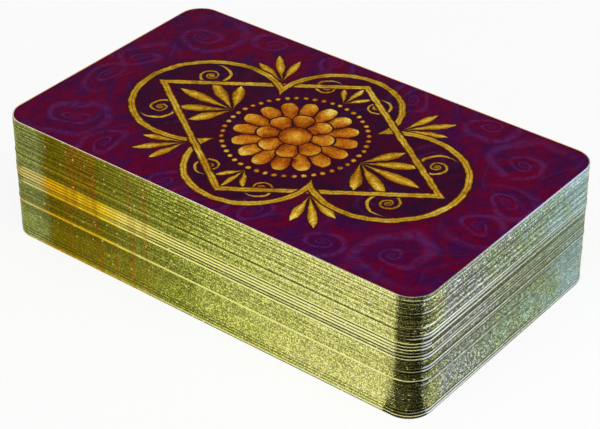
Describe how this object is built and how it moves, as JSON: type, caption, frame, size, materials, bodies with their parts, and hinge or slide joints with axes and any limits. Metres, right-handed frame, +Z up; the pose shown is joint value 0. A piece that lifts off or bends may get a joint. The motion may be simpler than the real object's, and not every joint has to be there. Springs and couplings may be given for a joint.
{
  "type": "tarot card deck",
  "caption": "Deck of tarot cards with rounded corners, wine-red backs with a gold ornament and gilt edges, lying squared up and face down; each card slides out of the stack.",
  "frame": {"origin": "middle of the deck's underside, where it rests on a table", "axes": "+X along the cards' short side, +Y along their long side, +Z up through the stack"},
  "size_m": [0.0708, 0.1206, 0.0316],
  "materials": {
    "card": "satin"
  },
  "bodies": {
    "the_fool": {"the_fool": "card"},
    "the_magician": {"the_magician": "card"},
    "the_high_priestess": {"the_high_priestess": "card"},
    "the_empress": {"the_empress": "card"},
    "the_emperor": {"the_emperor": "card"},
    "the_hierophant": {"the_hierophant": "card"},
    "the_lovers": {"the_lovers": "card"},
    "the_chariot": {"the_chariot": "card"},
    "strength": {"strength": "card"},
    "the_hermit": {"the_hermit": "card"},
    "wheel_of_fortune": {"wheel_of_fortune": "card"},
    "justice": {"justice": "card"},
    "the_hanged_man": {"the_hanged_man": "card"},
    "death": {"death": "card"},
    "temperance": {"temperance": "card"},
    "the_devil": {"the_devil": "card"},
    "the_tower": {"the_tower": "card"},
    "the_star": {"the_star": "card"},
    "the_moon": {"the_moon": "card"},
    "the_sun": {"the_sun": "card"},
    "judgement": {"judgement": "card"},
    "the_world": {"the_world": "card"},
    "ace_and_two_of_wands": {"ace_and_two_of_wands": "card"},
    "three_and_four_of_wands": {"three_and_four_of_wands": "card"},
    "five_and_six_of_wands": {"five_and_six_of_wands": "card"},
    "seven_and_eight_of_wands": {"seven_and_eight_of_wands": "card"},
    "nine_and_ten_of_wands": {"nine_and_ten_of_wands": "card"},
    "page_of_wands": {"page_of_wands": "card"},
    "knight_of_wands": {"knight_of_wands": "card"},
    "queen_of_wands": {"queen_of_wands": "card"},
    "king_of_wands": {"king_of_wands": "card"},
    "ace_and_two_of_cups": {"ace_and_two_of_cups": "card"},
    "three_and_four_of_cups": {"three_and_four_of_cups": "card"},
    "five_and_six_of_cups": {"five_and_six_of_cups": "card"},
    "seven_and_eight_of_cups": {"seven_and_eight_of_cups": "card"},
    "nine_and_ten_of_cups": {"nine_and_ten_of_cups": "card"},
    "page_of_cups": {"page_of_cups": "card"},
    "knight_of_cups": {"knight_of_cups": "card"},
    "queen_of_cups": {"queen_of_cups": "card"},
    "king_of_cups": {"king_of_cups": "card"},
    "ace_and_two_of_swords": {"ace_and_two_of_swords": "card"},
    "three_and_four_of_swords": {"three_and_four_of_swords": "card"},
    "five_and_six_of_swords": {"five_and_six_of_swords": "card"},
    "seven_and_eight_of_swords": {"seven_and_eight_of_swords": "card"},
    "nine_and_ten_of_swords": {"nine_and_ten_of_swords": "card"},
    "page_of_swords": {"page_of_swords": "card"},
    "knight_of_swords": {"knight_of_swords": "card"},
    "queen_of_swords": {"queen_of_swords": "card"},
    "king_of_swords": {"king_of_swords": "card"},
    "ace_and_two_of_pentacles": {"ace_and_two_of_pentacles": "card"},
    "three_and_four_of_pentacles": {"three_and_four_of_pentacles": "card"},
    "five_and_six_of_pentacles": {"five_and_six_of_pentacles": "card"},
    "seven_and_eight_of_pentacles": {"seven_and_eight_of_pentacles": "card"},
    "nine_and_ten_of_pentacles": {"nine_and_ten_of_pentacles": "card"},
    "page_of_pentacles": {"page_of_pentacles": "card"},
    "knight_of_pentacles": {"knight_of_pentacles": "card"},
    "queen_of_pentacles": {"queen_of_pentacles": "card"},
    "king_of_pentacles": {"king_of_pentacles": "card"}
  },
  "joints": [
    {"name": "king_of_pentacles_slide", "type": "slide", "parent": "the_fool", "child": "king_of_pentacles", "axis": [1, 0, 0], "range_m": [-0.072, 0.072]},
    {"name": "queen_of_pentacles_slide", "type": "slide", "parent": "the_fool", "child": "queen_of_pentacles", "axis": [1, 0, 0], "range_m": [-0.072, 0.072]},
    {"name": "knight_of_pentacles_slide", "type": "slide", "parent": "the_fool", "child": "knight_of_pentacles", "axis": [1, 0, 0], "range_m": [-0.072, 0.072]},
    {"name": "page_of_pentacles_slide", "type": "slide", "parent": "the_fool", "child": "page_of_pentacles", "axis": [1, 0, 0], "range_m": [-0.072, 0.072]},
    {"name": "nine_and_ten_of_pentacles_slide", "type": "slide", "parent": "the_fool", "child": "nine_and_ten_of_pentacles", "axis": [1, 0, 0], "range_m": [-0.072, 0.072]},
    {"name": "seven_and_eight_of_pentacles_slide", "type": "slide", "parent": "the_fool", "child": "seven_and_eight_of_pentacles", "axis": [1, 0, 0], "range_m": [-0.072, 0.072]},
    {"name": "five_and_six_of_pentacles_slide", "type": "slide", "parent": "the_fool", "child": "five_and_six_of_pentacles", "axis": [1, 0, 0], "range_m": [-0.072, 0.072]},
    {"name": "three_and_four_of_pentacles_slide", "type": "slide", "parent": "the_fool", "child": "three_and_four_of_pentacles", "axis": [1, 0, 0], "range_m": [-0.072, 0.072]},
    {"name": "ace_and_two_of_pentacles_slide", "type": "slide", "parent": "the_fool", "child": "ace_and_two_of_pentacles", "axis": [1, 0, 0], "range_m": [-0.072, 0.072]},
    {"name": "king_of_swords_slide", "type": "slide", "parent": "the_fool", "child": "king_of_swords", "axis": [1, 0, 0], "range_m": [-0.072, 0.072]},
    {"name": "queen_of_swords_slide", "type": "slide", "parent": "the_fool", "child": "queen_of_swords", "axis": [1, 0, 0], "range_m": [-0.072, 0.072]},
    {"name": "knight_of_swords_slide", "type": "slide", "parent": "the_fool", "child": "knight_of_swords", "axis": [1, 0, 0], "range_m": [-0.072, 0.072]},
    {"name": "page_of_swords_slide", "type": "slide", "parent": "the_fool", "child": "page_of_swords", "axis": [1, 0, 0], "range_m": [-0.072, 0.072]},
    {"name": "nine_and_ten_of_swords_slide", "type": "slide", "parent": "the_fool", "child": "nine_and_ten_of_swords", "axis": [1, 0, 0], "range_m": [-0.072, 0.072]},
    {"name": "seven_and_eight_of_swords_slide", "type": "slide", "parent": "the_fool", "child": "seven_and_eight_of_swords", "axis": [1, 0, 0], "range_m": [-0.072, 0.072]},
    {"name": "five_and_six_of_swords_slide", "type": "slide", "parent": "the_fool", "child": "five_and_six_of_swords", "axis": [1, 0, 0], "range_m": [-0.072, 0.072]},
    {"name": "three_and_four_of_swords_slide", "type": "slide", "parent": "the_fool", "child": "three_and_four_of_swords", "axis": [1, 0, 0], "range_m": [-0.072, 0.072]},
    {"name": "ace_and_two_of_swords_slide", "type": "slide", "parent": "the_fool", "child": "ace_and_two_of_swords", "axis": [1, 0, 0], "range_m": [-0.072, 0.072]},
    {"name": "king_of_cups_slide", "type": "slide", "parent": "the_fool", "child": "king_of_cups", "axis": [1, 0, 0], "range_m": [-0.072, 0.072]},
    {"name": "queen_of_cups_slide", "type": "slide", "parent": "the_fool", "child": "queen_of_cups", "axis": [1, 0, 0], "range_m": [-0.072, 0.072]},
    {"name": "knight_of_cups_slide", "type": "slide", "parent": "the_fool", "child": "knight_of_cups", "axis": [1, 0, 0], "range_m": [-0.072, 0.072]},
    {"name": "page_of_cups_slide", "type": "slide", "parent": "the_fool", "child": "page_of_cups", "axis": [1, 0, 0], "range_m": [-0.072, 0.072]},
    {"name": "nine_and_ten_of_cups_slide", "type": "slide", "parent": "the_fool", "child": "nine_and_ten_of_cups", "axis": [1, 0, 0], "range_m": [-0.072, 0.072]},
    {"name": "seven_and_eight_of_cups_slide", "type": "slide", "parent": "the_fool", "child": "seven_and_eight_of_cups", "axis": [1, 0, 0], "range_m": [-0.072, 0.072]},
    {"name": "five_and_six_of_cups_slide", "type": "slide", "parent": "the_fool", "child": "five_and_six_of_cups", "axis": [1, 0, 0], "range_m": [-0.072, 0.072]},
    {"name": "three_and_four_of_cups_slide", "type": "slide", "parent": "the_fool", "child": "three_and_four_of_cups", "axis": [1, 0, 0], "range_m": [-0.072, 0.072]},
    {"name": "ace_and_two_of_cups_slide", "type": "slide", "parent": "the_fool", "child": "ace_and_two_of_cups", "axis": [1, 0, 0], "range_m": [-0.072, 0.072]},
    {"name": "king_of_wands_slide", "type": "slide", "parent": "the_fool", "child": "king_of_wands", "axis": [1, 0, 0], "range_m": [-0.072, 0.072]},
    {"name": "queen_of_wands_slide", "type": "slide", "parent": "the_fool", "child": "queen_of_wands", "axis": [1, 0, 0], "range_m": [-0.072, 0.072]},
    {"name": "knight_of_wands_slide", "type": "slide", "parent": "the_fool", "child": "knight_of_wands", "axis": [1, 0, 0], "range_m": [-0.072, 0.072]},
    {"name": "page_of_wands_slide", "type": "slide", "parent": "the_fool", "child": "page_of_wands", "axis": [1, 0, 0], "range_m": [-0.072, 0.072]},
    {"name": "nine_and_ten_of_wands_slide", "type": "slide", "parent": "the_fool", "child": "nine_and_ten_of_wands", "axis": [1, 0, 0], "range_m": [-0.072, 0.072]},
    {"name": "seven_and_eight_of_wands_slide", "type": "slide", "parent": "the_fool", "child": "seven_and_eight_of_wands", "axis": [1, 0, 0], "range_m": [-0.072, 0.072]},
    {"name": "five_and_six_of_wands_slide", "type": "slide", "parent": "the_fool", "child": "five_and_six_of_wands", "axis": [1, 0, 0], "range_m": [-0.072, 0.072]},
    {"name": "three_and_four_of_wands_slide", "type": "slide", "parent": "the_fool", "child": "three_and_four_of_wands", "axis": [1, 0, 0], "range_m": [-0.072, 0.072]},
    {"name": "ace_and_two_of_wands_slide", "type": "slide", "parent": "the_fool", "child": "ace_and_two_of_wands", "axis": [1, 0, 0], "range_m": [-0.072, 0.072]},
    {"name": "the_world_slide", "type": "slide", "parent": "the_fool", "child": "the_world", "axis": [1, 0, 0], "range_m": [-0.072, 0.072]},
    {"name": "judgement_slide", "type": "slide", "parent": "the_fool", "child": "judgement", "axis": [1, 0, 0], "range_m": [-0.072, 0.072]},
    {"name": "the_sun_slide", "type": "slide", "parent": "the_fool", "child": "the_sun", "axis": [1, 0, 0], "range_m": [-0.072, 0.072]},
    {"name": "the_moon_slide", "type": "slide", "parent": "the_fool", "child": "the_moon", "axis": [1, 0, 0], "range_m": [-0.072, 0.072]},
    {"name": "the_star_slide", "type": "slide", "parent": "the_fool", "child": "the_star", "axis": [1, 0, 0], "range_m": [-0.072, 0.072]},
    {"name": "the_tower_slide", "type": "slide", "parent": "the_fool", "child": "the_tower", "axis": [1, 0, 0], "range_m": [-0.072, 0.072]},
    {"name": "the_devil_slide", "type": "slide", "parent": "the_fool", "child": "the_devil", "axis": [1, 0, 0], "range_m": [-0.072, 0.072]},
    {"name": "temperance_slide", "type": "slide", "parent": "the_fool", "child": "temperance", "axis": [1, 0, 0], "range_m": [-0.072, 0.072]},
    {"name": "death_slide", "type": "slide", "parent": "the_fool", "child": "death", "axis": [1, 0, 0], "range_m": [-0.072, 0.072]},
    {"name": "the_hanged_man_slide", "type": "slide", "parent": "the_fool", "child": "the_hanged_man", "axis": [1, 0, 0], "range_m": [-0.072, 0.072]},
    {"name": "justice_slide", "type": "slide", "parent": "the_fool", "child": "justice", "axis": [1, 0, 0], "range_m": [-0.072, 0.072]},
    {"name": "wheel_of_fortune_slide", "type": "slide", "parent": "the_fool", "child": "wheel_of_fortune", "axis": [1, 0, 0], "range_m": [-0.072, 0.072]},
    {"name": "the_hermit_slide", "type": "slide", "parent": "the_fool", "child": "the_hermit", "axis": [1, 0, 0], "range_m": [-0.072, 0.072]},
    {"name": "strength_slide", "type": "slide", "parent": "the_fool", "child": "strength", "axis": [1, 0, 0], "range_m": [-0.072, 0.072]},
    {"name": "the_chariot_slide", "type": "slide", "parent": "the_fool", "child": "the_chariot", "axis": [1, 0, 0], "range_m": [-0.072, 0.072]},
    {"name": "the_lovers_slide", "type": "slide", "parent": "the_fool", "child": "the_lovers", "axis": [1, 0, 0], "range_m": [-0.072, 0.072]},
    {"name": "the_hierophant_slide", "type": "slide", "parent": "the_fool", "child": "the_hierophant", "axis": [1, 0, 0], "range_m": [-0.072, 0.072]},
    {"name": "the_emperor_slide", "type": "slide", "parent": "the_fool", "child": "the_emperor", "axis": [1, 0, 0], "range_m": [-0.072, 0.072]},
    {"name": "the_empress_slide", "type": "slide", "parent": "the_fool", "child": "the_empress", "axis": [1, 0, 0], "range_m": [-0.072, 0.072]},
    {"name": "the_high_priestess_slide", "type": "slide", "parent": "the_fool", "child": "the_high_priestess", "axis": [1, 0, 0], "range_m": [-0.072, 0.072]},
    {"name": "the_magician_slide", "type": "slide", "parent": "the_fool", "child": "the_magician", "axis": [1, 0, 0], "range_m": [-0.072, 0.072]}
  ]
}
